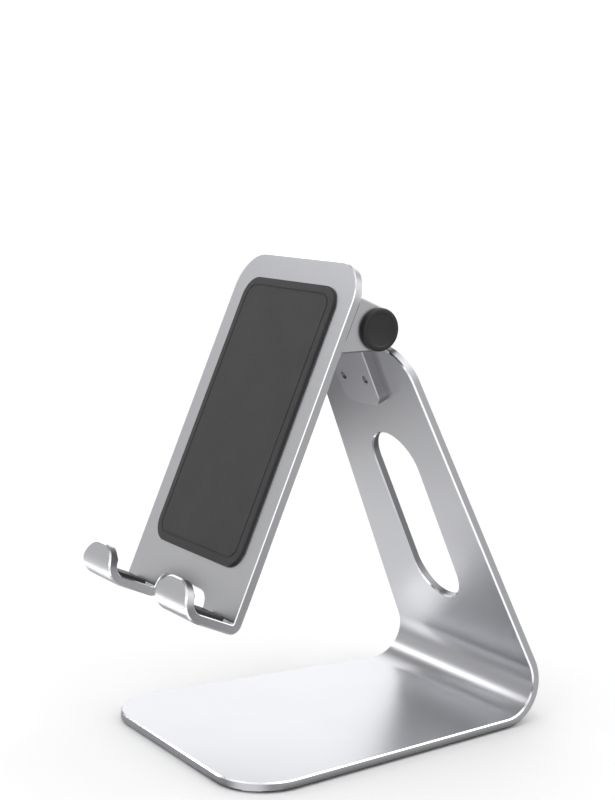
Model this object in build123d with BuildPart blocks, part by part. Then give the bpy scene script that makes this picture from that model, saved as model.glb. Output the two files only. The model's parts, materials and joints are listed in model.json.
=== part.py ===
from build123d import *
from math import cos, radians, sin
import os

# Adjustable tablet stand. One bent aluminium plate is the base, the rear bend and the riser, which leans
# forward. A second bent plate is the holder: a panel with two hooks. A friction hinge joins the two.
# Frame: +Z up, -Y to the user, +X to the user's right. The origin is on the table, at the middle of the
# stand's outline. Lengths are in millimetres and angles in degrees.

# ---- Driving dimensions: base and riser ----
plate = 4.0  # thickness of the plate
foot_height = 1.0  # the silicone feet lift the plate by this much
base_front_width = 141.0
base_rear_width = 116.0  # where the bend starts
base_straight = 151.5  # from the front edge to where the bend starts
base_corner = 25.0
bend_radius = 16.5  # inside of the rear bend
riser_tilt = 66.5  # riser to the table
riser_length = 168.0  # from the end of the bend to the top edge
riser_corner = 18.0
edge_taper = 0.0911  # each edge moves in by this much per millimetre, along the bend and the riser
slot_width = 35.2
slot_low, slot_high = 43.3, 101.5  # centres of the slot's two round ends, from the end of the bend
bright_chamfer = 0.65  # cut on the upper side of the plate's edges
edge_break = 0.4

# ---- Driving dimensions: holder ----
holder_plate_thickness = 4.4
holder_tilt = 66.0  # panel to the table
holder_width = 102.0
holder_length = 170.0  # from the underside of the hooks to the panel's top edge
holder_corner = 18.0
hook_front, hook_height = -20.3, 79.0  # corner of a hook, from the base's front edge and from the table
hook_width = 28.5
hook_depth = 22.0  # inside, from the lip to the panel
lip_height = 15.8  # outside
lip_bend = 9.1  # outside radius, below the lip
rear_bend = 5.2  # outside radius, where a hook meets the panel
cable_notch = 8.0  # the plug's gap runs this far up the panel
notch_corner = 7.0
holder_chamfer = 0.7

# ---- Driving dimensions: pads ----
foot_size = (30.0, 12.0)
foot_corner = 5.0
foot_inset = 13.0  # from the straight edges to the middle of a foot
foot_front, foot_rear = 18.0, 140.0  # middle of the feet, from the base's front edge
back_pad_size = (78.0, 132.0)
back_pad_middle = 92.0  # up the panel
back_pad_corner = 10.0
pad_thickness = 1.5
hook_pad_width = 21.0
hook_pad_top, hook_pad_rear = 12.4, 24.4

# ---- Driving dimensions: hinge ----
barrel_radius = 10.0
barrel_half = 15.0  # half the length of the fixed barrel
axis_gap = 0.4  # between the barrel and the riser's top edge
tongue_length = 40.0  # from the axis down the riser
tongue_thickness = 5.0
tongue_corner = 6.0
bush_wall, bush_length, bush_flange, bush_flange_radius = 1.45, 12.0, 1.0, 8.5
running_gap = 0.05
washer_thickness, washer_radius = 0.95, 9.0
cheek_inside, cheek_outside = 17.0, 28.0  # from the middle of the stand
web_outside = 20.0  # the counterbores end here
counterbore_radius = 7.25
cheek_chamfer = 0.8
flange_thickness = 4.0
flange_low, flange_high = -22.0, 10.0  # along the panel, from the axis
shoulder_radius, thread_radius = 4.0, 3.0
head_radius, head_height, socket_width, socket_depth = 6.5, 5.5, 4.0, 3.0
spring_outside, spring_inside, spring_thickness, spring_cone = 6.3, 3.2, 0.7, 0.3
nut_width, nut_height = 10.0, 4.5
cap_thickness, cap_wall, cap_spigot, cap_round = 2.5, 0.6, 2.0, 1.2

# ---- Driving dimensions: M4 countersunk screws ----
screw_radius, screw_head_radius, screw_head_height = 2.0, 3.8, 1.8
screw_socket_width, screw_socket_depth = 2.5, 1.3
riser_screw_spread, riser_screw_drop = 9.0, 26.0  # from the middle, and down from the axis
riser_screw_length = 8.0
holder_screw_spread, holder_screw_low, holder_screw_high = 22.0, -16.0, 4.0
holder_screw_length = 12.0

# ---- Worked-out places ----
turn = 180 - riser_tilt
hook_sine, hook_cosine = sin(radians(holder_tilt)), cos(radians(holder_tilt))
front_reach = hook_front + lip_bend * (hook_sine + hook_cosine - 1)
rear_reach = base_straight + bend_radius + plate
base_front = -(front_reach + rear_reach) / 2
bend_start = base_front + base_straight
plate_top = foot_height + plate
bend_centre = (bend_start, plate_top + bend_radius)

riser_up = Vector(0, cos(radians(turn)), sin(radians(turn)))
riser_front = Vector(0, -sin(radians(turn)), cos(radians(turn)))
riser_foot = Vector(0, *bend_centre) - bend_radius * riser_front
riser_plane = Plane(origin=riser_foot, x_dir=(1, 0, 0), z_dir=riser_front)
riser_back = Plane(origin=riser_foot - plate * riser_front, x_dir=(-1, 0, 0), z_dir=-riser_front)
bend_length = radians(turn) * (bend_radius + plate / 2)
bend_end_half = base_rear_width / 2 - edge_taper * bend_length
riser_top_half = bend_end_half - edge_taper * riser_length

axis_rise = riser_length + axis_gap + barrel_radius
axis = riser_foot + axis_rise * riser_up
axis_plane = Plane(origin=axis, x_dir=(0, 1, 0), z_dir=(1, 0, 0))

hook_corner = Vector(0, base_front + hook_front, hook_height)
holder_side = Plane(origin=hook_corner, x_dir=(0, hook_sine, -hook_cosine), z_dir=(1, 0, 0))
holder_face = Plane(origin=hook_corner, x_dir=(1, 0, 0), z_dir=(0, -hook_sine, hook_cosine))
panel_front = holder_plate_thickness + hook_depth
panel_back = panel_front + holder_plate_thickness
axis_depth, axis_height = holder_side.to_local_coords(axis).X, holder_side.to_local_coords(axis).Y
flange_back = panel_back + flange_thickness
bush_radius = shoulder_radius + running_gap


def finish(piece, name):
    """Name a finished piece and write it to its own file."""
    piece.part.label = name
    export_step(piece.part, f"parts/{name}.step")


def outline(solid, points):
    """Edges around the skin that is made of the faces nearest to the given points."""
    edges = [edge for point in points for edge in solid.faces().sort_by_distance(point)[0].edges()]
    return [edge for edge in edges if sum(edge.is_same(other) for other in edges) == 1]


def ring(plane, outer, inner, length):
    """Tube on the current part, from a plane along its normal."""
    with BuildSketch(plane) as wall:
        Circle(outer)
        Circle(inner, mode=Mode.SUBTRACT)
    extrude(wall.sketch, amount=length)


def along_hinge(x, side=1):
    """Plane across the hinge axis, x from the middle of the stand, facing out on the given side."""
    return Plane(origin=axis + Vector(side * x, 0, 0), x_dir=(0, side, 0), z_dir=(side, 0, 0))


def disc_at(plane, x, y, radius):
    """Round sketch at a place on a plane."""
    with BuildSketch(plane) as disc:
        with Locations((x, y)):
            Circle(radius)
    return disc.sketch


def countersunk_screw(plane, x, y, length):
    """Screw on the current part, with its head flush with a plane and its tip below it."""
    extrude(disc_at(plane, x, y, screw_head_radius), amount=-screw_head_height, taper=45)
    extrude(disc_at(plane, x, y, screw_radius), amount=-length)
    with BuildSketch(plane) as socket:
        with Locations((x, y)):
            RegularPolygon(screw_socket_width / 2, 6, major_radius=False)
    extrude(socket.sketch, amount=-screw_socket_depth, mode=Mode.SUBTRACT)


def countersunk_hole(plane, x, y, depth):
    """Hole in the current part for such a screw."""
    extrude(disc_at(plane, x, y, screw_head_radius), amount=-screw_head_height, taper=45, mode=Mode.SUBTRACT)
    extrude(disc_at(plane, x, y, screw_radius), amount=-depth, mode=Mode.SUBTRACT)


os.makedirs("parts", exist_ok=True)

# ---- Base frame: base, rear bend and riser in one plate ----
cutter_steps = 8
cutter_overrun = 6.0  # degrees past each end of the bend
with BuildPart() as bend_cutter:
    for step in range(cutter_steps + 1):
        angle = step / cutter_steps * (turn + 2 * cutter_overrun) - cutter_overrun
        inner_x = base_rear_width / 2 - edge_taper * bend_length * angle / turn
        across = Plane(
            origin=(0, *bend_centre), x_dir=(1, 0, 0), z_dir=(0, cos(radians(angle)), sin(radians(angle)))
        )
        with BuildSketch(across):
            with Locations((inner_x, bend_radius + plate / 2)):
                Rectangle(base_front_width, 3 * plate, align=(Align.MIN, Align.CENTER))
    loft()

with BuildPart() as base_frame:
    with BuildSketch(Plane(origin=(0, bend_start, 0), x_dir=(1, 0, 0), z_dir=(0, -1, 0))):
        with Locations((0, foot_height + plate / 2)):
            Rectangle(base_rear_width + plate, plate)
    revolve(axis=Axis((0, *bend_centre), (1, 0, 0)), revolution_arc=turn)
    add(bend_cutter.part, mode=Mode.SUBTRACT)
    mirror(bend_cutter.part, about=Plane.YZ, mode=Mode.SUBTRACT)
    with BuildSketch(Plane.XY.offset(foot_height)) as base_outline:
        with BuildLine():
            Polyline(
                (-base_front_width / 2, base_front),
                (base_front_width / 2, base_front),
                (base_rear_width / 2, bend_start),
                (-base_rear_width / 2, bend_start),
                close=True,
            )
        make_face()
        fillet(base_outline.vertices().group_by(Axis.Y)[0], base_corner)
    extrude(amount=plate)
    with BuildSketch(riser_plane) as riser_outline:
        with BuildLine():
            Polyline(
                (-bend_end_half, 0),
                (bend_end_half, 0),
                (riser_top_half, riser_length),
                (-riser_top_half, riser_length),
                close=True,
            )
        make_face()
        fillet(riser_outline.vertices().group_by(Axis.Y)[-1], riser_corner)
        with Locations((0, (slot_low + slot_high) / 2)):
            SlotCenterToCenter(slot_high - slot_low, slot_width, rotation=90, mode=Mode.SUBTRACT)
    extrude(amount=-plate)
    middle_y = base_front + base_straight / 2
    beside_slot = riser_plane.from_local_coords((slot_width, slot_low))
    upper_skin = (
        (0, middle_y, plate_top),
        Vector(0, bend_start + bend_radius, bend_centre[1]),
        beside_slot,
    )
    lower_skin = (
        (0, middle_y, foot_height),
        Vector(0, bend_start + bend_radius + plate, bend_centre[1]),
        beside_slot - plate * riser_front,
    )
    chamfer(outline(base_frame.part, upper_skin), bright_chamfer)
    chamfer(outline(base_frame.part, lower_skin), edge_break)
    for side in (-1, 1):
        countersunk_hole(riser_back, side * riser_screw_spread, axis_rise - riser_screw_drop, plate)
finish(base_frame, "base_frame")

# ---- Silicone feet, in the corners under the base ----
for end, foot_y in (("front", foot_front), ("rear", foot_rear)):
    half_width = base_front_width / 2 + (base_rear_width - base_front_width) / 2 * foot_y / base_straight
    foot_x = half_width - foot_inset - foot_size[0] / 2
    for side, name in ((-1, "left"), (1, "right")):
        with BuildPart() as foot:
            with BuildSketch():
                with Locations((side * foot_x, base_front + foot_y)):
                    RectangleRounded(*foot_size, foot_corner)
            extrude(amount=foot_height)
        finish(foot, f"foot_pad_{end}_{name}")

# ---- Fixed half of the hinge: a barrel on a tongue ----
with BuildPart() as riser_hinge_knuckle:
    with BuildSketch(riser_plane) as tongue:
        with Locations((0, axis_rise)):
            Rectangle(2 * barrel_half, tongue_length, align=(Align.CENTER, Align.MAX))
        fillet(tongue.vertices().group_by(Axis.Y)[0], tongue_corner)
    extrude(amount=tongue_thickness)
    with BuildSketch(axis_plane):
        Circle(barrel_radius)
    extrude(amount=barrel_half, both=True)
    with BuildSketch(axis_plane):
        Circle(bush_radius + bush_wall)
    extrude(amount=barrel_half, both=True, mode=Mode.SUBTRACT)
    screw_rise = axis_rise - riser_screw_drop
    tongue_middle = riser_plane.from_local_coords((0, screw_rise, tongue_thickness))
    tongue_face = riser_hinge_knuckle.faces().sort_by_distance(tongue_middle)[0]
    chamfer(tongue_face.edges().sort_by_distance(axis)[1:], edge_break)
    for side in (-1, 1):
        screw_hole = disc_at(riser_back, side * riser_screw_spread, screw_rise, screw_radius)
        extrude(screw_hole, amount=-plate - tongue_thickness, mode=Mode.SUBTRACT)
finish(riser_hinge_knuckle, "riser_hinge_knuckle")

with BuildPart() as riser_bracket_screws:
    for side in (-1, 1):
        countersunk_screw(riser_back, side * riser_screw_spread, screw_rise, riser_screw_length)
finish(riser_bracket_screws, "riser_bracket_screws")

for side, name in ((-1, "left"), (1, "right")):
    with BuildPart() as bush:
        ring(along_hinge(barrel_half - bush_length, side), bush_radius + bush_wall, bush_radius, bush_length)
        ring(along_hinge(barrel_half, side), bush_flange_radius, bush_radius, bush_flange)
    finish(bush, f"knuckle_bush_{name}")

# ---- Holder: panel and two hooks in one plate ----
half_thickness = holder_plate_thickness / 2
with BuildPart() as holder_plate:
    with BuildSketch(holder_side):
        with BuildLine() as section:
            FilletPolyline(
                (half_thickness, lip_height),
                (half_thickness, half_thickness),
                (panel_front + half_thickness, half_thickness),
                (panel_front + half_thickness, holder_length),
                radius=[lip_bend - half_thickness, rear_bend - half_thickness],
            )
        trace(section.line, line_width=holder_plate_thickness)
    extrude(amount=holder_width / 2, both=True)
    notch_width = holder_width - 2 * hook_width
    with BuildSketch(holder_face):
        Rectangle(notch_width, 2 * lip_height, align=(Align.CENTER, Align.MIN))
    extrude(amount=-panel_front + hook_depth / 2, mode=Mode.SUBTRACT)
    with BuildSketch(holder_face) as notch:
        Rectangle(notch_width, holder_plate_thickness + cable_notch, align=(Align.CENTER, Align.MIN))
        fillet(notch.vertices().group_by(Axis.Y)[-1], notch_corner)
    extrude(amount=-panel_back, mode=Mode.SUBTRACT)
    upward = (Align.CENTER, Align.MIN)
    corner_x, corner_y = holder_width / 2 - holder_corner, holder_length - holder_corner
    with BuildSketch(holder_face.offset(-panel_front - half_thickness)):
        with Locations((0, corner_y)):
            Rectangle(holder_width, holder_corner, align=upward)
            Rectangle(2 * corner_x, holder_corner, align=upward, mode=Mode.SUBTRACT)
        with Locations((-corner_x, corner_y), (corner_x, corner_y)):
            Circle(holder_corner, mode=Mode.SUBTRACT)
    extrude(amount=holder_plate_thickness, both=True, mode=Mode.SUBTRACT)
    lip_corner = lip_height - holder_plate_thickness
    hook_x = (holder_width - hook_width) / 2
    lip_flat = hook_width - 2 * lip_corner  # straight part of a lip's top edge
    with BuildSketch(holder_face):
        with Locations((-hook_x, holder_plate_thickness), (hook_x, holder_plate_thickness)):
            Rectangle(hook_width, lip_corner, align=upward)
            Rectangle(lip_flat, lip_corner, align=upward, mode=Mode.SUBTRACT)
            with Locations((-lip_flat / 2, 0), (lip_flat / 2, 0)):
                Circle(lip_corner, mode=Mode.SUBTRACT)
    extrude(amount=-lip_bend, mode=Mode.SUBTRACT)
    lip_middle = holder_plate_thickness + lip_corner / 2
    arm_middle = panel_front / 2
    lip_turn = lip_bend * (1 - cos(radians(45)))
    lip_turn_inside = lip_turn + holder_plate_thickness * cos(radians(45))
    rear_turn = rear_bend * (1 - cos(radians(45)))
    rear_turn_inside = rear_turn + holder_plate_thickness * cos(radians(45))
    outer_skin = [(panel_back, holder_length / 2, 0)]
    inner_skin = [(panel_front, holder_length / 2, 0)]
    for x in (-hook_x, hook_x):
        outer_skin += [(0, lip_middle, x), (lip_turn, lip_turn, x), (arm_middle, 0, x)]
        outer_skin += [(panel_back - rear_turn, rear_turn, x)]
        inner_skin += [(holder_plate_thickness, lip_middle, x), (lip_turn_inside, lip_turn_inside, x)]
        inner_skin += [(arm_middle, holder_plate_thickness, x)]
        inner_skin += [(panel_back - rear_turn_inside, rear_turn_inside, x)]
    for skin, size in ((outer_skin, holder_chamfer), (inner_skin, edge_break)):
        places = [holder_side.from_local_coords(point) for point in skin]
        chamfer(outline(holder_plate.part, places), size)
    panel_front_plane = holder_face.offset(-panel_front)
    for side in (-1, 1):
        for rise in (holder_screw_low, holder_screw_high):
            place = (side * holder_screw_spread, axis_height + rise)
            countersunk_hole(panel_front_plane, *place, holder_plate_thickness)
finish(holder_plate, "holder_plate")

# ---- Silicone pads on the holder ----
with BuildPart() as back_pad:
    with BuildSketch(panel_front_plane):
        with Locations((0, back_pad_middle)):
            RectangleRounded(*back_pad_size, back_pad_corner)
    extrude(amount=pad_thickness)
finish(back_pad, "back_pad")

pad_face = holder_plate_thickness + pad_thickness / 2  # middle of a hook pad's thickness
for side, name in ((-1, "left"), (1, "right")):
    with BuildPart() as hook_pad:
        with BuildSketch(holder_side.offset(side * hook_x)):
            with BuildLine() as pad_section:
                FilletPolyline(
                    (pad_face, hook_pad_top),
                    (pad_face, pad_face),
                    (hook_pad_rear, pad_face),
                    radius=lip_bend - pad_face,
                )
            trace(pad_section.line, line_width=pad_thickness)
        extrude(amount=hook_pad_width / 2, both=True)
    finish(hook_pad, f"hook_pad_{name}")

# ---- Moving half of the hinge: a flange with two cheeks ----
with BuildPart() as holder_hinge_bracket:
    with BuildSketch(holder_side.offset(-cheek_outside)):
        with Locations((axis_depth, axis_height)):
            Circle(barrel_radius)
        with Locations((panel_back, axis_height + flange_low)):
            Rectangle(flange_thickness, flange_high - flange_low, align=(Align.MIN, Align.MIN))
        make_hull()
    extrude(amount=2 * cheek_outside)
    with BuildSketch(holder_side.offset(-cheek_inside)):
        with Locations((flange_back, axis_height + 2 * flange_low)):
            Rectangle(holder_length, -4 * flange_low, align=(Align.MIN, Align.MIN))
    extrude(amount=2 * cheek_inside, mode=Mode.SUBTRACT)
    for side in (-1, 1):
        cheek_face = holder_hinge_bracket.faces().sort_by(Axis.X)[0 if side < 0 else -1]
        chamfer(cheek_face.edges(), cheek_chamfer)
        extrude(disc_at(along_hinge(0, side), 0, 0, bush_radius), amount=cheek_outside, mode=Mode.SUBTRACT)
        counterbore = disc_at(along_hinge(web_outside, side), 0, 0, counterbore_radius)
        extrude(counterbore, amount=cheek_outside, mode=Mode.SUBTRACT)
        for rise in (holder_screw_low, holder_screw_high):
            place = (side * holder_screw_spread, axis_height + rise)
            screw_hole = disc_at(panel_front_plane, *place, screw_radius)
            extrude(screw_hole, amount=-holder_screw_length, mode=Mode.SUBTRACT)
finish(holder_hinge_bracket, "holder_hinge_bracket")

with BuildPart() as holder_bracket_screws:
    for side in (-1, 1):
        for rise in (holder_screw_low, holder_screw_high):
            place = (side * holder_screw_spread, axis_height + rise)
            countersunk_screw(panel_front_plane, *place, holder_screw_length)
finish(holder_bracket_screws, "holder_bracket_screws")

# ---- Shoulder bolt, springs, washer and nut: they set the hinge's friction ----
spring_height = spring_thickness + spring_cone
washer_inside = web_outside + 2 * spring_height
nut_inside = washer_inside + spring_height
thread_end = nut_inside + nut_height
with BuildPart() as hinge_bolt:
    extrude(disc_at(along_hinge(web_outside, -1), 0, 0, head_radius), amount=head_height)
    head_rim = hinge_bolt.edges().filter_by(GeomType.CIRCLE).sort_by(Axis.X)[0]
    chamfer(head_rim, edge_break)
    extrude(disc_at(along_hinge(-web_outside), 0, 0, shoulder_radius), amount=2 * web_outside - running_gap)
    extrude(disc_at(along_hinge(0), 0, 0, thread_radius), amount=thread_end)
    with BuildSketch(along_hinge(web_outside + head_height, -1)) as bolt_socket:
        RegularPolygon(socket_width / 2, 6, major_radius=False)
    extrude(bolt_socket.sketch, amount=-socket_depth, mode=Mode.SUBTRACT)
finish(hinge_bolt, "hinge_bolt")

with BuildPart() as disc_springs:
    for start, lean in ((web_outside, 1), (washer_inside, -1)):
        with BuildSketch(Plane(origin=axis, x_dir=(1, 0, 0), z_dir=(0, -1, 0))):
            with BuildLine():
                Polyline(
                    (start, spring_outside),
                    (start + lean * spring_thickness, spring_outside),
                    (start + lean * spring_height, spring_inside),
                    (start + lean * spring_cone, spring_inside),
                    close=True,
                )
            make_face()
        revolve(axis=Axis(axis, (1, 0, 0)))
finish(disc_springs, "disc_springs")

with BuildPart() as hinge_washer:
    ring(along_hinge(washer_inside), spring_outside, spring_inside, spring_height)
finish(hinge_washer, "hinge_washer")

with BuildPart() as hinge_nut:
    with BuildSketch(along_hinge(nut_inside)):
        RegularPolygon(nut_width / 2, 6, major_radius=False)
        Circle(thread_radius, mode=Mode.SUBTRACT)
    extrude(amount=nut_height)
finish(hinge_nut, "hinge_nut")

# ---- Friction washers and end caps ----
for side, name in ((-1, "left"), (1, "right")):
    with BuildPart() as friction_washer:
        washer_plane = along_hinge(cheek_inside - washer_thickness, side)
        ring(washer_plane, washer_radius, bush_radius, washer_thickness)
    finish(friction_washer, f"friction_washer_{name}")

    with BuildPart() as hinge_cap:
        extrude(disc_at(along_hinge(cheek_outside, side), 0, 0, barrel_radius), amount=cap_thickness)
        rims = hinge_cap.edges().filter_by(GeomType.CIRCLE).sort_by(Axis.X)
        fillet(rims[-1] if side > 0 else rims[0], cap_round)
        spigot_radius = counterbore_radius - running_gap
        spigot_plane = along_hinge(cheek_outside - cap_spigot, side)
        ring(spigot_plane, spigot_radius, spigot_radius - cap_wall, cap_spigot)
    finish(hinge_cap, f"hinge_cap_{name}")
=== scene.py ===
"""Looks of the tablet stand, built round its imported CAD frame."""

import json
from math import atan, cos, pi, radians, sin, sqrt

import bmesh
import bpy
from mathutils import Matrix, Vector


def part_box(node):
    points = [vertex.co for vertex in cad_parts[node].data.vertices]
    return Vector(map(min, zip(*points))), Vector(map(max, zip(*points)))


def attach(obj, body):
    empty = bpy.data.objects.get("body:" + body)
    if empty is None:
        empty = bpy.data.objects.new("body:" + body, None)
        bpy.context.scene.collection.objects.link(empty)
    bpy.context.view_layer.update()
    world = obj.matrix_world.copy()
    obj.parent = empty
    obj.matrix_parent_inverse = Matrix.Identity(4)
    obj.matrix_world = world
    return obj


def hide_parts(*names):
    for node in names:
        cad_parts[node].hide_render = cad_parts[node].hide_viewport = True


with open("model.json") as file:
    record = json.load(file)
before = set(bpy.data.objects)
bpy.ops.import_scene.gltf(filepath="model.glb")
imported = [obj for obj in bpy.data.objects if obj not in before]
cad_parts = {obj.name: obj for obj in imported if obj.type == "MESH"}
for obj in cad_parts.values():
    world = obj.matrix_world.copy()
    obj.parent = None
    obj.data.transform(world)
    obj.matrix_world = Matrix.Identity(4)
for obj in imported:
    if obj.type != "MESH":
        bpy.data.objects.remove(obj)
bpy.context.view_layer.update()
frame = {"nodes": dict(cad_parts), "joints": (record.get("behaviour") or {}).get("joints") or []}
MM = 0.001

# ---- Sizes of the two bent plates, in millimetres, as in the CAD ----
# PLATE and HOLDER are their thicknesses, and FOOT is the height of the feet.
PLATE, FOOT = 4.0, 1.0
BASE_FRONT_WIDTH, BASE_REAR_WIDTH = 141.0, 116.0
BASE_STRAIGHT = 151.5
BASE_CORNER = 25.0
BEND = 16.5
RISER_TILT = 66.5
RISER_LENGTH = 168.0
RISER_CORNER = 18.0
EDGE_TAPER = 0.0911
SLOT_RADIUS = 17.6
SLOT_LOW, SLOT_HIGH = 43.3, 101.5
BRIGHT_CHAMFER, EDGE_BREAK = 0.65, 0.4

HOLDER = 4.4
HOLDER_TILT = 66.0
HOLDER_HALF = 51.0
HOLDER_LENGTH = 170.0
HOLDER_CORNER = 18.0
HOOK_WIDTH, HOOK_DEPTH = 28.5, 22.0
HOOK_FRONT, HOOK_HEIGHT = -20.3, 79.0
LIP_HEIGHT, LIP_BEND, REAR_BEND = 15.8, 9.1, 5.2
NOTCH_RISE, NOTCH_CORNER = 8.0, 7.0
HOLDER_CHAMFER = 0.7

# Countersunk holes: radius of the head and of the shank, depth of the cone and of the drill, and how far
# the cutter stands proud. Screws: distance from the middle plane, and along the metal from the hinge's axis.
HEAD, SHANK, SINK, DRILL, PROUD = 3.85, 2.05, 1.8, 12.0, 1.0
RISER_SCREW_X, RISER_SCREW_RISE = 9.0, -26.0
PANEL_SCREW_X, PANEL_SCREW_RISES = 22.0, (-16.0, 4.0)

# ---- Sizes of the moulded parts, in millimetres, as in the CAD ----
PAD, PAD_ROUND = 1.5, 0.6
BACK_PAD_WIDTH, BACK_PAD_LENGTH, BACK_PAD_CORNER, BACK_PAD_MIDDLE = 78.0, 132.0, 10.0, 92.0
FOOT_LENGTH, FOOT_WIDTH, FOOT_CORNER, FOOT_ROUND = 30.0, 12.0, 5.0, 0.35
HOOK_PAD_HALF, HOOK_PAD_CORNER, HOOK_PAD_TOP, HOOK_PAD_REAR = 10.5, 3.2, 12.4, 24.4
CAP_START = 28.0
CAP_RADIUS, CAP_HEIGHT, CAP_ROUND = 10.0, 2.5, 1.2

# ---- How many steps divide each curve ----
FRONT_CORNER_STEPS, BEND_STEPS, SLOT_STEPS, RISER_CORNER_STEPS = 20, 48, 18, 18
LIP_CORNER_STEPS, LIP_BEND_STEPS, REAR_BEND_STEPS, NOTCH_STEPS, PANEL_CORNER_STEPS = 18, 24, 16, 14, 18
PAD_CORNER_STEPS, PAD_BEND_STEPS, PAD_EDGE_STEPS, CAP_STEPS = 10, 20, 5, 8
HOLE_SIDES, CAP_SIDES = 40, 80

# ---- Places worked out from the sizes and from the frame, in millimetres ----
BASE_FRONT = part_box("base_frame")[0].y / MM
FRONT_TAPER = (BASE_FRONT_WIDTH - BASE_REAR_WIDTH) / 2 / BASE_STRAIGHT
TURN = radians(180 - RISER_TILT)
BEND_CENTRE = Vector((BASE_FRONT + BASE_STRAIGHT, FOOT + PLATE + BEND))
BEND_LENGTH = TURN * (BEND + PLATE / 2)
RISER_START = BASE_STRAIGHT + BEND_LENGTH
RISER_UP = Vector((cos(TURN), sin(TURN)))
RISER_FRONT = Vector((-sin(TURN), cos(TURN)))
RISER_FOOT = BEND_CENTRE - BEND * RISER_FRONT
ALONG = Vector((sin(radians(HOLDER_TILT)), -cos(radians(HOLDER_TILT))))
UP = Vector((cos(radians(HOLDER_TILT)), sin(radians(HOLDER_TILT))))
HOOK_CORNER = Vector((BASE_FRONT + HOOK_FRONT, HOOK_HEIGHT))
PANEL_FRONT = HOLDER + HOOK_DEPTH
PANEL_BACK = PANEL_FRONT + HOLDER
HINGE = Vector(frame["joints"][0]["pos_m"]).yz / MM


# ---- Materials ----
def shader(name):
    """New node material: the material, its node tree and its main shader."""
    material = bpy.data.materials.new(name)
    material.use_nodes = True
    tree = material.node_tree
    return material, tree, tree.nodes["Principled BSDF"]


def node(tree, kind, inputs=(), **settings):
    """New shader node with its settings and input values."""
    made = tree.nodes.new(kind)
    for key, value in settings.items():
        setattr(made, key, value)
    for key, value in dict(inputs).items():
        made.inputs[key].default_value = value
    return made


def noise(tree, scale, detail, stretch=(1, 1, 1)):
    """Noise in the object's own coordinates; scale is in features per metre."""
    place = node(tree, "ShaderNodeTexCoord")
    mapping = node(tree, "ShaderNodeMapping", {"Scale": stretch})
    texture = node(tree, "ShaderNodeTexNoise", {"Scale": scale, "Detail": detail})
    tree.links.new(place.outputs["Object"], mapping.inputs["Vector"])
    tree.links.new(mapping.outputs["Vector"], texture.inputs["Vector"])
    return texture.outputs["Fac"]


def spread(tree, value, low, high):
    """Noise values from 0.3 to 0.7, where most of them lie, spread over a range."""
    ends = {"From Min": 0.3, "From Max": 0.7, "To Min": low, "To Max": high}
    limits = node(tree, "ShaderNodeMapRange", ends)
    tree.links.new(value, limits.inputs["Value"])
    return limits.outputs["Result"]


def two_tone(tree, value, main, low, high):
    """Base colour between two tones."""
    mix = node(tree, "ShaderNodeMix", data_type="RGBA")
    mix.inputs["A"].default_value = (*low, 1)
    mix.inputs["B"].default_value = (*high, 1)
    tree.links.new(value, mix.inputs["Factor"])
    tree.links.new(mix.outputs["Result"], main.inputs["Base Color"])


def bump(tree, height, main, distance, strength):
    """Fine relief on a shader; distance is in metres."""
    relief = node(tree, "ShaderNodeBump", {"Strength": strength, "Distance": distance})
    tree.links.new(height, relief.inputs["Height"])
    tree.links.new(relief.outputs["Normal"], main.inputs["Normal"])


def blasted_aluminium(name, tone, rough):
    """Bead-blasted and clear anodised aluminium: fine grain, faint clouding, a trace of blue."""
    material, tree, main = shader(name)
    main.inputs["Metallic"].default_value = 1.0
    clouds = spread(tree, noise(tree, 22, 3), 0, 1)
    dark, light = (tone, tone * 1.005, tone * 1.045), (tone * 1.03, tone * 1.035, tone * 1.075)
    two_tone(tree, clouds, main, dark, light)
    grain = noise(tree, 2600, 3)
    tree.links.new(spread(tree, grain, rough - 0.02, rough + 0.03), main.inputs["Roughness"])
    bump(tree, grain, main, 0.00001, 0.12)
    return material


def cut_aluminium(name):
    """Bright diamond-cut chamfer."""
    material, tree, main = shader(name)
    main.inputs["Metallic"].default_value = 1.0
    marks = noise(tree, 900, 2)
    two_tone(tree, marks, main, (0.86, 0.865, 0.87), (0.93, 0.935, 0.94))
    tree.links.new(spread(tree, marks, 0.12, 0.2), main.inputs["Roughness"])
    return material


def matt(name, tone, rough, grain_scale, grain_depth):
    """Plain rubber or plastic with a fine moulded grain."""
    material, tree, main = shader(name)
    grain = noise(tree, grain_scale, 3)
    clouds = spread(tree, noise(tree, 60, 3), 0, 1)
    two_tone(tree, clouds, main, [0.9 * part for part in tone], [1.12 * part for part in tone])
    tree.links.new(spread(tree, grain, rough - 0.06, rough + 0.06), main.inputs["Roughness"])
    bump(tree, grain, main, grain_depth, 0.6)
    return material


def turned_steel(name, tone):
    """Stainless steel with fine marks round the hinge's axis."""
    material, tree, main = shader(name)
    main.inputs["Metallic"].default_value = 1.0
    marks = noise(tree, 1500, 2, (0.15, 1, 1))
    two_tone(tree, marks, main, [tone] * 3, [tone * 1.2] * 3)
    tree.links.new(spread(tree, marks, 0.2, 0.36), main.inputs["Roughness"])
    bump(tree, marks, main, 0.00001, 0.3)
    return material


SATIN = blasted_aluminium("satin_aluminium", 0.52, 0.31)
CUT = cut_aluminium("cut_aluminium")
# Aluminium at half the satin tone, for the wall round the riser's slot.
DARKER_WALL = blasted_aluminium("darker_wall_aluminium", 0.26, 0.3)
HINGE_METAL = blasted_aluminium("hinge_aluminium", 0.54, 0.34)
SILICONE = matt("silicone", (0.022, 0.022, 0.024), 0.55, 1800, 0.00004)
BLACK = matt("black_plastic", (0.012, 0.012, 0.013), 0.42, 2600, 0.00003)
ACETAL = matt("bush_polymer", (0.62, 0.58, 0.48), 0.4, 1200, 0.00001)
STEEL = turned_steel("fastener_steel", 0.42)


# ---- Mesh helpers ----
def steps(start, end, count):
    """Evenly spaced values, without the first one."""
    return [start + (end - start) * step / count for step in range(1, count + 1)]


def flat(point):
    """Place in the frame of a point on the middle plane, from its Y and Z in millimetres."""
    return Vector((0, point.x, point.y)) * MM


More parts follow.
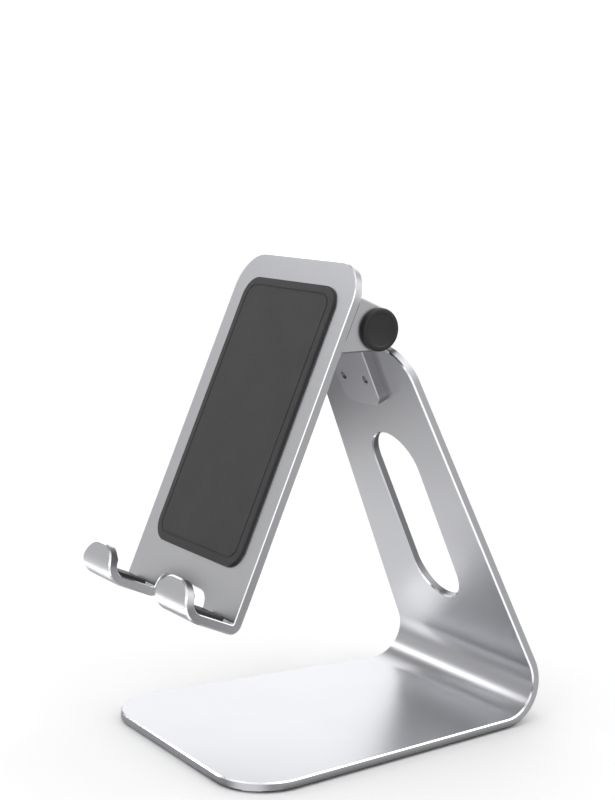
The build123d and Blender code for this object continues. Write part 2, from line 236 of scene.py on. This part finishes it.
def holder_point(along, up):
    """From the holder's own section, along its arms and up its panel, to the frame's Y and Z."""
    return HOOK_CORNER + along * ALONG + up * UP


# Directions in the frame
RIGHT = Vector((1, 0, 0))
RISER_BACK = -flat(RISER_FRONT) / MM
PANEL_UP, PANEL_OUT = flat(UP) / MM, -flat(ALONG) / MM


def smooth(mesh, degrees):
    """Smooth shading, apart from edges sharper than this."""
    mesh.shade_smooth()
    mesh.set_sharp_from_angle(angle=radians(degrees))


def finished(bm, name, degrees):
    """Mesh from a bmesh, with its faces turned out."""
    bmesh.ops.recalc_face_normals(bm, faces=bm.faces)
    mesh = bpy.data.meshes.new(name)
    bm.to_mesh(mesh)
    bm.free()
    smooth(mesh, degrees)
    return mesh


def bent_plate(name, levels, bands, sides=(-1, 1), wall=0):
    """Closed mesh of a plate, or of its part on one side of x = 0.

    levels holds a list of rows for each depth, from one skin to the other. A row is a point of the side
    section, in millimetres, and three x values: where the metal begins, a point inside it, and where it ends.
    bands gives the material index of the edge band between each level and the next, and wall that of the
    middle band round a hole.
    """
    bm = bmesh.new()
    known = {}

    def corner(x, point):
        key = (round(x, 5), round(point.x, 5), round(point.y, 5))
        if key not in known:
            known[key] = bm.verts.new((x * MM, point.x * MM, point.y * MM))
        return known[key]

    def face(corners, material):
        distinct = list(dict.fromkeys(corners))
        if len(distinct) > 2:
            bm.faces.new(distinct).material_index = material

    for side in sides:
        grid = [[[corner(side * x, point) for x in xs] for point, xs in rows] for rows in levels]
        for skin in (grid[0], grid[-1]):
            for row, following in zip(skin, skin[1:]):
                for column in (0, 1):
                    face((row[column], row[column + 1], following[column + 1], following[column]), 0)
        for lower, upper, material in zip(grid, grid[1:], bands):
            for row in range(len(lower) - 1):
                face((lower[row][2], lower[row + 1][2], upper[row + 1][2], upper[row][2]), material)
                on_axis = all(levels[0][at][1][0] == 0 for at in (row, row + 1))
                if not on_axis:
                    inner = (lower[row][0], lower[row + 1][0], upper[row + 1][0], upper[row][0])
                    face(inner, material or wall)
            for first, last in ((lower[0], upper[0]), (lower[-1], upper[-1])):
                for column in (0, 1):
                    face((first[column], first[column + 1], last[column + 1], last[column]), material)
    loose = [point for point in bm.verts if not point.link_faces]
    bmesh.ops.delete(bm, geom=loose, context="VERTS")
    return finished(bm, name, 24)


def add_turned(bm, profile, start, out, sides):
    """Adds a closed turned form: profile gives radius and height, from one end of the axis to the other."""
    turn = out.to_track_quat("Z", "Y").to_matrix().to_4x4()
    turn.translation = start
    rings = []
    for radius, height in profile:
        angles = [2 * pi * k / sides for k in range(sides if radius else 1)]
        points = [Vector((radius * cos(t), radius * sin(t), height)) * MM for t in angles]
        rings.append([bm.verts.new(turn @ point) for point in points])
    for lower, upper in zip(rings, rings[1:]):
        for k in range(sides):
            corners = (lower[k % len(lower)], lower[(k + 1) % len(lower)])
            corners += (upper[(k + 1) % len(upper)], upper[k % len(upper)])
            bm.faces.new(list(dict.fromkeys(corners)))


def moulded(name, loops, origin, axes):
    """Closed mesh through loops of (x, y, height) points in millimetres, with both ends filled."""
    bm = bmesh.new()
    across, along, out = axes
    rings = []
    for loop in loops:
        rings.append([bm.verts.new(origin + (x * across + y * along + h * out) * MM) for x, y, h in loop])
    for lower, upper in zip(rings, rings[1:]):
        for k in range(len(lower)):
            bm.faces.new((lower[k - 1], lower[k], upper[k], upper[k - 1]))
    bm.faces.new(rings[0][::-1])
    bm.faces.new(rings[-1])
    return finished(bm, name, 40)


def slab_loops(width, length, corner, profile):
    """Loops of a slab with round corners; profile gives the inset and height of each loop."""
    loops = []
    for inset, height in profile:
        loop = []
        for quarter, (x, y) in enumerate(((1, 1), (-1, 1), (-1, -1), (1, -1))):
            for angle in [0] + steps(0, pi / 2, PAD_CORNER_STEPS):
                angle += quarter * pi / 2
                reach = corner - inset
                across = x * (width / 2 - corner) + reach * cos(angle)
                along = y * (length / 2 - corner) + reach * sin(angle)
                loop.append((across, along, height))
        loops.append(loop)
    return loops


def edge_profile(thickness, radius):
    """Inset and height up a slab's side and round its top edge."""
    turn_start = thickness - radius
    turns = steps(0, pi / 2, PAD_EDGE_STEPS)
    return [(0, 0), (0, turn_start)] + [(radius * (1 - cos(t)), turn_start + radius * sin(t)) for t in turns]


def new_piece(name, mesh, materials, slot, body, *replaced):
    """Object with its materials, that rides on a body and stands for CAD nodes. Its slot is not used."""
    for material in materials:
        mesh.materials.append(material)
    piece = bpy.data.objects.new(name, mesh)
    bpy.context.scene.collection.objects.link(piece)
    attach(piece, body)
    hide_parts(*replaced)
    return piece


# ---- Bent plates ----
def base_rows(inset, depth):
    """Rows of the base plate, from the front edge to the riser's top. Depth counts from the lower skin."""
    front_slope, rear_slope = sqrt(1 + FRONT_TAPER**2), sqrt(1 + EDGE_TAPER**2)

    def half(s):
        """Half the plate's width at a distance along it."""
        if s < BASE_STRAIGHT:
            return BASE_FRONT_WIDTH / 2 - FRONT_TAPER * s - inset * front_slope
        return BASE_REAR_WIDTH / 2 - EDGE_TAPER * (s - BASE_STRAIGHT) - inset * rear_slope

    def section(s):
        """Point of the side section at a distance along the plate."""
        if s <= BASE_STRAIGHT:
            return Vector((BASE_FRONT + s, FOOT + depth))
        angle = min((s - BASE_STRAIGHT) / BEND_LENGTH, 1) * TURN
        reach = BEND + PLATE - depth
        point = BEND_CENTRE + reach * Vector((sin(angle), -cos(angle)))
        return point + max(s - RISER_START, 0) * RISER_UP

    # Front corner, straight base and bend
    arc = BASE_CORNER - inset
    centre_x = half(BASE_CORNER) + (inset - BASE_CORNER) * front_slope
    rows = []
    for angle in [-pi / 2] + steps(-pi / 2, atan(FRONT_TAPER), FRONT_CORNER_STEPS):
        rows.append((BASE_CORNER + arc * sin(angle), 0, centre_x + arc * cos(angle)))
    rows += [(s, 0, half(s)) for s in steps(rows[-1][0], BASE_STRAIGHT, 8)]
    rows += [(s, 0, half(s)) for s in steps(BASE_STRAIGHT, RISER_START, BEND_STEPS)]

    # Riser, with its slot
    hole = SLOT_RADIUS + inset
    low, high = RISER_START + SLOT_LOW, RISER_START + SLOT_HIGH
    rows += [(s, 0, half(s)) for s in steps(RISER_START, low - hole, 4)]
    for angle in steps(0, pi / 2, SLOT_STEPS):
        s = low - hole * cos(angle)
        rows.append((s, hole * sin(angle), half(s)))
    rows += [(s, hole, half(s)) for s in steps(low, high, 6)]
    for angle in steps(0, pi / 2, SLOT_STEPS):
        s = high + hole * sin(angle)
        rows.append((s, hole * cos(angle) if angle < pi / 2 else 0, half(s)))

    # Top corner
    arc = RISER_CORNER - inset
    corner_s = RISER_START + RISER_LENGTH - RISER_CORNER
    centre_x = half(corner_s) + (inset - RISER_CORNER) * rear_slope
    slant = atan(EDGE_TAPER)
    rows += [(s, 0, half(s)) for s in steps(rows[-1][0], corner_s + arc * sin(slant), 4)]
    for angle in steps(slant, pi / 2, RISER_CORNER_STEPS):
        rows.append((corner_s + arc * sin(angle), 0, centre_x + arc * cos(angle)))
    return [(section(s), (inner, inner, outer)) for s, inner, outer in rows]


def holder_rows(inset, depth):
    """Rows of the holder plate, from the lips to the panel's top. Depth counts from the outer skin."""
    gap, edge = HOLDER_HALF - HOOK_WIDTH, HOLDER_HALF - inset
    lip_corner = LIP_HEIGHT - HOLDER
    arc = lip_corner - inset

    def hook(along, up):
        """Row of a hook, whose lip has a round end."""
        rise = min(max(up - HOLDER, 0), arc)
        cut = lip_corner - sqrt(arc**2 - rise**2)
        return holder_point(along, up), (gap + cut, gap + cut, HOLDER_HALF - cut)

    # Lips, their bend and the arms
    rows = []
    top_angle = atan((LIP_BEND - HOLDER) / sqrt(arc**2 - (LIP_BEND - HOLDER) ** 2))
    for angle in [pi / 2] + steps(pi / 2, top_angle, LIP_CORNER_STEPS):
        rows.append(hook(depth, HOLDER + arc * sin(angle)))
    reach = LIP_BEND - depth
    for angle in steps(0, pi / 2, LIP_BEND_STEPS):
        rows.append(hook(LIP_BEND - reach * cos(angle), LIP_BEND - reach * sin(angle)))
    arm_end = PANEL_BACK - REAR_BEND
    rows += [hook(along, depth) for along in steps(LIP_BEND, arm_end, 4)]

    # Rear bend, and the panel beside the notch
    reach = REAR_BEND - depth
    for angle in steps(0, pi / 2, REAR_BEND_STEPS):
        point = holder_point(arm_end + reach * sin(angle), REAR_BEND - reach * cos(angle))
        rows.append((point, (gap + inset, gap + inset, edge)))
    notch_middle = gap - NOTCH_CORNER
    notch_base = HOLDER + NOTCH_RISE - NOTCH_CORNER
    arc = NOTCH_CORNER + inset
    for angle in [0] + steps(0, pi / 2, NOTCH_STEPS):
        x = notch_middle + arc * cos(angle)
        up = max(notch_base + arc * sin(angle), REAR_BEND)
        rows.append((holder_point(PANEL_BACK - depth, up), (x, x, edge)))

    # Panel and its top corner
    notch_top, corner_up = notch_base + arc, HOLDER_LENGTH - HOLDER_CORNER
    for up in [notch_top] + steps(notch_top, corner_up, 8):
        rows.append((holder_point(PANEL_BACK - depth, up), (0, notch_middle, edge)))
    arc = HOLDER_CORNER - inset
    for angle in steps(0, pi / 2, PANEL_CORNER_STEPS):
        point = holder_point(PANEL_BACK - depth, corner_up + arc * sin(angle))
        rows.append((point, (0, notch_middle, HOLDER_HALF - HOLDER_CORNER + arc * cos(angle))))
    return rows


def plate_levels(rows, thickness, first_chamfer, last_chamfer):
    """Rows at the four depths of a plate with a chamfer on each skin."""
    return [
        rows(first_chamfer, 0),
        rows(0, first_chamfer),
        rows(0, thickness - last_chamfer),
        rows(last_chamfer, thickness),
    ]


def drilled(mesh, materials, holes):
    """The mesh with its materials and its countersunk holes, each a place and its axis out of the metal."""
    for material in materials:
        mesh.materials.append(material)
    profile = ((0, PROUD), (HEAD + PROUD, PROUD), (SHANK, -SINK), (SHANK, -DRILL), (0, -DRILL))
    cutters = bmesh.new()
    for place, out in holes:
        add_turned(cutters, profile, place, out, HOLE_SIDES)
    cutter = bpy.data.objects.new("cutters", finished(cutters, "cutters", 30))
    blank = bpy.data.objects.new("blank", mesh)
    for helper in (cutter, blank):
        bpy.context.scene.collection.objects.link(helper)
    difference = blank.modifiers.new("holes", "BOOLEAN")
    difference.object = cutter
    difference.operation = "DIFFERENCE"
    difference.solver = "EXACT"
    cut = bpy.data.meshes.new_from_object(blank.evaluated_get(bpy.context.evaluated_depsgraph_get()))
    cut.name = mesh.name
    for helper in (cutter, blank):
        bpy.data.objects.remove(helper)
    smooth(cut, 24)
    return cut


# Where the hinge's axis is, along the riser and along the panel
riser_axis = (HINGE - RISER_FOOT).dot(RISER_UP)
panel_axis = (HINGE - HOOK_CORNER).dot(UP)

base_levels = plate_levels(base_rows, PLATE, EDGE_BREAK, BRIGHT_CHAMFER)
base_mesh = bent_plate("base_plate", base_levels, (1, 0, 1), wall=2)
riser_screw = flat(RISER_FOOT + (riser_axis + RISER_SCREW_RISE) * RISER_UP - PLATE * RISER_FRONT)
riser_holes = [(riser_screw + x * MM * RIGHT, RISER_BACK) for x in (-RISER_SCREW_X, RISER_SCREW_X)]
base_mesh = drilled(base_mesh, (SATIN, CUT, DARKER_WALL), riser_holes)
new_piece("base_plate", base_mesh, (), "satin_aluminium", "stand", "base_frame")

holder_levels = plate_levels(holder_rows, HOLDER, HOLDER_CHAMFER, EDGE_BREAK)
holder_mesh = bent_plate("holder_panel", holder_levels, (1, 0, 1))
holder_holes = []
for x in (-PANEL_SCREW_X, PANEL_SCREW_X):
    for rise in PANEL_SCREW_RISES:
        place = flat(holder_point(PANEL_FRONT, panel_axis + rise)) + x * MM * RIGHT
        holder_holes.append((place, PANEL_OUT))
holder_mesh = drilled(holder_mesh, (SATIN, CUT), holder_holes)
new_piece("holder_panel", holder_mesh, (), "satin_aluminium", "holder", "holder_plate")

# ---- Moulded pads, feet and caps ----
# Each profile is of inset and height: the round edge, then the sunk line inside it.
back_groove = [(3.6, 1.5), (3.75, 1.2), (4.1, 1.08), (4.45, 1.2), (4.6, 1.5)]
pad_loops = slab_loops(
    BACK_PAD_WIDTH, BACK_PAD_LENGTH, BACK_PAD_CORNER, edge_profile(PAD, PAD_ROUND) + back_groove
)
pad_middle = flat(holder_point(PANEL_FRONT, BACK_PAD_MIDDLE))
pad_mesh = moulded("back_cushion", pad_loops, pad_middle, (RIGHT, PANEL_UP, PANEL_OUT))
new_piece("back_cushion", pad_mesh, (SILICONE,), "silicone", "holder", "back_pad")

foot_groove = [(1.8, 1.0), (2.0, 0.8), (2.5, 0.8), (2.7, 1.0)]
foot_loops = slab_loops(FOOT_LENGTH, FOOT_WIDTH, FOOT_CORNER, edge_profile(FOOT, FOOT_ROUND) + foot_groove)
for place in ("front_left", "front_right", "rear_left", "rear_right"):
    low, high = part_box(f"foot_pad_{place}")
    middle = Vector(((low.x + high.x) / 2, (low.y + high.y) / 2, high.z))
    mesh = moulded(f"foot_{place}", foot_loops, middle, (RIGHT, Vector((0, -1, 0)), Vector((0, 0, -1))))
    new_piece(f"foot_{place}", mesh, (SILICONE,), "silicone", "stand", f"foot_pad_{place}")


def hook_pad_rows(inset, depth):
    """Rows of a hook's pad, from the lip to the panel. Depth counts from the metal."""
    middle = HOLDER_HALF - HOOK_WIDTH / 2
    half, corner = HOOK_PAD_HALF - inset, HOOK_PAD_CORNER - inset
    top, rear = HOOK_PAD_TOP - inset, HOOK_PAD_REAR - inset
    reach = LIP_BEND - HOLDER - depth

    def row(along, up, cut=0.0):
        return holder_point(along, up), (middle - half + cut, middle, middle + half - cut)

    rows = []
    for angle in [pi / 2] + steps(pi / 2, 0, PAD_CORNER_STEPS):
        rows.append(row(HOLDER + depth, top - corner * (1 - sin(angle)), corner * (1 - cos(angle))))
    for angle in steps(0, pi / 2, PAD_BEND_STEPS):
        rows.append(row(LIP_BEND - reach * cos(angle), LIP_BEND - reach * sin(angle)))
    rows += [row(along, HOLDER + depth) for along in steps(LIP_BEND, rear - corner, 6)]
    for angle in steps(0, pi / 2, PAD_CORNER_STEPS):
        rows.append(row(rear - corner * (1 - sin(angle)), HOLDER + depth, corner * (1 - cos(angle))))
    return rows


hook_pad_levels = [hook_pad_rows(inset, depth) for inset, depth in edge_profile(PAD, PAD_ROUND)]
for name, side in (("left", -1), ("right", 1)):
    mesh = bent_plate(f"hook_cushion_{name}", hook_pad_levels, (0,) * (len(hook_pad_levels) - 1), (side,))
    new_piece(f"hook_cushion_{name}", mesh, (SILICONE,), "silicone", "holder", f"hook_pad_{name}")

# A cap's radius and height: the dished face, the round rim, the edge at the cheek, and the snap ring.
cap_profile = [(0, 2.2), (7.2, 2.2), (7.5, 2.3), (7.8, CAP_HEIGHT)]
for angle in [0] + steps(0, pi / 2, CAP_STEPS):
    rim = (CAP_RADIUS - CAP_ROUND * (1 - sin(angle)), CAP_HEIGHT - CAP_ROUND * (1 - cos(angle)))
    cap_profile.append(rim)
cap_profile += [(CAP_RADIUS, 0.25), (9.75, 0), (7.2, 0), (7.2, -1.7), (6.9, -2), (6.6, -2), (6.6, 0), (0, 0)]
for name, side in (("left", -1), ("right", 1)):
    bm = bmesh.new()
    start = flat(HINGE) + side * CAP_START * MM * RIGHT
    add_turned(bm, cap_profile, start, Vector((side, 0, 0)), CAP_SIDES)
    mesh = finished(bm, f"end_cap_{name}", 30)
    new_piece(f"end_cap_{name}", mesh, (BLACK,), "black_plastic", "holder", f"hinge_cap_{name}")

# ---- CAD nodes that keep their shape, with their edges softened ----
# Edges that turn by more than this many degrees are softened, once points this close are one point.
SOFT_ANGLE, SAME_POINT = 40, 0.002
# Each row: material, width of the softened edge in millimetres, and words in the nodes' names.
FINISHES = (
    (HINGE_METAL, 0.35, ("riser_hinge_knuckle", "holder_hinge_bracket")),
    (ACETAL, 0.15, ("knuckle_bush",)),
    (STEEL, 0.15, ("screws", "bolt", "nut", "washer")),
    (STEEL, 0.1, ("springs",)),
)
for name, cad in frame["nodes"].items():
    for material, width, words in FINISHES:
        if any(word in name for word in words):
            cad.material_slots[0].material = material
            weld = cad.modifiers.new("weld", "WELD")
            weld.merge_threshold = SAME_POINT * MM
            soften = cad.modifiers.new("soften", "BEVEL")
            soften.width = width * MM
            soften.segments = 2
            soften.limit_method = "ANGLE"
            soften.angle_limit = radians(SOFT_ANGLE)
            soften.harden_normals = True
            soften.use_clamp_overlap = True
            even = cad.modifiers.new("even", "WEIGHTED_NORMAL")
            even.keep_sharp = True

# ---- Camera: lens, place beside, in front of and above the base's front edge in metres, and its angles ----
LENS = 75.95
CAMERA_BESIDE, CAMERA_BEFORE, CAMERA_ABOVE = 0.6573, 0.3395, 0.2774
LOOKING_DOWN, LOOKING_LEFT = 8.79, 57.76

camera_data = bpy.data.cameras.new("camera")
camera_data.sensor_width = 36
camera_data.lens = LENS
camera_data.clip_end = 20
camera = bpy.data.objects.new("camera", camera_data)
bpy.context.scene.collection.objects.link(camera)
camera.location = (CAMERA_BESIDE, BASE_FRONT * MM - CAMERA_BEFORE, CAMERA_ABOVE)
camera.rotation_euler = (radians(90 - LOOKING_DOWN), 0, radians(LOOKING_LEFT))
bpy.context.scene.camera = camera
bpy.context.scene.view_settings.view_transform = "Standard"

# ---- Light: a light tent that the metal mirrors, an even world, and one soft light from above ----
EVEN_LIGHT, TENT_AMBIENT = 1.17, 0.3
TOP_PLACE, TOP_SIZE, TOP_POWER = Vector((-0.1, 0.1, 1.6)), 1.6, 2
# Each panel of the tent: direction, half angle where it is full, half angle where it ends, brightness.
PANELS = (
    ((-0.79, 0.51, 0.28), 9, 40, 1.40),
    ((-0.76, -0.40, 0.535), 2, 9, 5.2),
    ((-0.80, -0.58, -0.12), 6, 18, 0.20),
    ((-0.80, -0.20, -0.58), 20, 40, 0.74),
    ((-0.88, -0.44, 0.20), 8, 22, 0.50),
    ((0.20, 0.40, 0.90), 20, 50, 1.0),
    ((0.42, -0.62, -0.65), 16, 40, 0.9),
    ((0.84, 0.50, -0.15), 20, 45, 0.38),
    ((0.55, 0.50, 0.65), 15, 44, 0.7),
    ((0.65, -0.65, 0.35), 15, 45, 0.7),
    ((0.00, -0.75, 0.66), 15, 44, 0.8),
    ((0.05, -0.99, -0.05), 8, 24, 1.1),
)


def tent():
    """World: even white light, and a light tent of soft panels in place of it where a surface mirrors it."""
    world = bpy.data.worlds.new("studio")
    world.use_nodes = True
    tree = world.node_tree
    place = node(tree, "ShaderNodeTexCoord")
    total = node(tree, "ShaderNodeValue")
    total.outputs[0].default_value = TENT_AMBIENT
    for direction, full, end, brightness in PANELS:
        nearness = node(tree, "ShaderNodeVectorMath", operation="DOT_PRODUCT")
        tree.links.new(place.outputs["Generated"], nearness.inputs[0])
        nearness.inputs[1].default_value = Vector(direction).normalized()
        ends = {"From Min": cos(radians(end)), "From Max": cos(radians(full)), "To Max": brightness}
        panel = node(tree, "ShaderNodeMapRange", ends, interpolation_type="SMOOTHERSTEP")
        tree.links.new(nearness.outputs["Value"], panel.inputs["Value"])
        added = node(tree, "ShaderNodeMath", operation="ADD")
        tree.links.new(total.outputs[0], added.inputs[0])
        tree.links.new(panel.outputs["Result"], added.inputs[1])
        total = added
    path = node(tree, "ShaderNodeLightPath")
    mix = node(tree, "ShaderNodeMix", {"A": EVEN_LIGHT}, data_type="FLOAT")
    tree.links.new(path.outputs["Is Glossy Ray"], mix.inputs["Factor"])
    tree.links.new(total.outputs[0], mix.inputs["B"])
    tree.links.new(mix.outputs["Result"], tree.nodes["Background"].inputs["Strength"])
    tree.nodes["Background"].inputs["Color"].default_value = (1, 1, 1, 1)
    return world


bpy.context.scene.world = tent()

top_data = bpy.data.lights.new("top", "AREA")
top_data.shape = "RECTANGLE"
top_data.size = top_data.size_y = TOP_SIZE
top_data.energy = TOP_POWER
top = bpy.data.objects.new("top", top_data)
bpy.context.scene.collection.objects.link(top)
top.location = TOP_PLACE
top.rotation_euler = (-TOP_PLACE).to_track_quat("-Z", "Y").to_euler()
top.visible_glossy = False


# ---- Floor, and the cards round the object that paint shadow, shade and highlights into its reflections ----
def floor_material():
    """Plain pale paper."""
    material, tree, main = shader("studio_floor")
    two_tone(tree, noise(tree, 3, 2), main, (0.86, 0.86, 0.865), (0.875, 0.875, 0.88))
    main.inputs["Roughness"].default_value = 0.7
    main.inputs["Specular IOR Level"].default_value = 0.1
    return material


def painted_shade_sheet(name, tone):
    """Sheet of one grey tone that paints shade into reflections."""
    material, _, main = shader(name)
    main.inputs["Base Color"].default_value = (tone, tone, tone * 1.03, 1)
    return material


def fading_painted_shade(name, tone, tilt, start, end):
    """Dark sheet of painted shade that fades in between two heights; tilt adds that much of Y to the height.
    """
    material = painted_shade_sheet(name, tone)
    tree = material.node_tree
    main = tree.nodes["Principled BSDF"]
    main.inputs["Roughness"].default_value = 0.9
    place = node(tree, "ShaderNodeTexCoord")
    height = node(tree, "ShaderNodeVectorMath", operation="DOT_PRODUCT")
    height.inputs[1].default_value = (0, tilt, 1)
    ends = {"From Min": start, "From Max": end}
    fade = node(tree, "ShaderNodeMapRange", ends, interpolation_type="SMOOTHSTEP")
    tree.links.new(place.outputs["Object"], height.inputs[0])
    tree.links.new(height.outputs["Value"], fade.inputs["Value"])
    tree.links.new(fade.outputs["Result"], main.inputs["Alpha"])
    return material


def painted_highlight_sheet(name, brightness):
    """Sheet that glows white and paints a highlight into reflections; no lamp lights it."""
    material, _, main = shader(name)
    main.inputs["Base Color"].default_value = (0, 0, 0, 1)
    main.inputs["Emission Color"].default_value = (1, 1, 1, 1)
    main.inputs["Emission Strength"].default_value = brightness
    return material


def stage_sheet(name, corners, material):
    """Flat sheet that belongs to the studio."""
    mesh = bpy.data.meshes.new(name)
    mesh.from_pydata(corners, [], [range(len(corners))])
    mesh.materials.append(material)
    sheet = bpy.data.objects.new(name, mesh)
    bpy.context.scene.collection.objects.link(sheet)
    return sheet


floor = stage_sheet("floor", [(-9, -9, 0), (9, -9, 0), (9, 9, 0), (-9, 9, 0)], floor_material())
floor.visible_glossy = False

# Each card is seen only in reflections, into which the dark cards paint shadow and shade and the glowing
# cards paint highlights:
# the axis that it stands across (0 is X), its place on that axis, its corners on the two other axes, in
# metres, and its material.
X, Y, Z = 0, 1, 2
CARDS = {
    # Painted reflection of a tablet's dark back, darkening the riser's upper front in its reflection.
    "side_flag": (
        X,
        -0.075,
        ((-0.055, 0.06), (0.07, 0.06), (0.08, 0.2), (-0.005, 0.21), (-0.045, 0.11)),
        fading_painted_shade("flag", 0.3, -0.5, 0.065, 0.13),
    ),
    # Painted shadow on the floor to the left, darkening what the riser and the bend mirror.
    "left_mat": (
        Z,
        0.0004,
        ((-0.11, 0.03), (-0.11, -0.06), (-0.2, -0.11), (-0.45, -0.2), (-0.45, 0.03)),
        fading_painted_shade("left_mat", 0.14, -1, -0.03, 0.1),
    ),
    # Painted contact shadow on the floor before the base, darkening the base's front edge in reflection.
    "front_mat": (
        Z,
        0.0005,
        ((-0.13, -0.12), (-0.07, -0.15), (0.03, -0.15), (0.045, -0.08), (-0.13, -0.06)),
        painted_shade_sheet("front_mat", 0.42),
    ),
    # Painted contact shadow under and round the base, darkening its lower edges in reflection.
    "under_mat": (
        Z,
        0.0003,
        ((-0.05, -0.08), (0.05, -0.08), (0.074, -0.055), (0.061, 0.1), (-0.061, 0.1), (-0.074, -0.055)),
        painted_shade_sheet("under_mat", 0.08),
    ),
    # Painted highlight: a glowing sheet that puts a bright band on the hooks' lips in reflection.
    "hook_card": (
        Z,
        0.001,
        ((-0.26, -0.125), (-0.075, -0.11), (-0.05, -0.15), (-0.2, -0.24)),
        painted_highlight_sheet("hook_card", 3.2),
    ),
    # Painted highlight: a glowing sheet that brightens the left of the bend and the riser's foot in
    # reflection.
    "left_card": (
        Z,
        0.001,
        ((-0.095, 0.045), (-0.064, 0.045), (-0.064, 0.076), (-0.095, 0.068)),
        painted_highlight_sheet("left_card", 1.7),
    ),
    # Painted dark reflection on the hooks' sides.
    "right_flag": (
        X,
        0.2,
        ((-0.1, 0.02), (0.015, 0.02), (0.015, 0.09), (-0.1, 0.1)),
        painted_shade_sheet("right_flag", 0.2),
    ),
    # Painted shade: a grey sheet that darkens the low front edges in reflection.
    "front_wall": (
        Y,
        -0.155,
        ((-0.2, 0), (0.02, 0), (0.02, 0.025), (-0.2, 0.025)),
        painted_shade_sheet("front_wall", 0.6),
    ),
}
for name, (axis, place, points, material) in CARDS.items():
    card = stage_sheet(name, [(*point[:axis], place, *point[axis:]) for point in points], material)
    card.visible_camera = card.visible_diffuse = card.visible_shadow = False
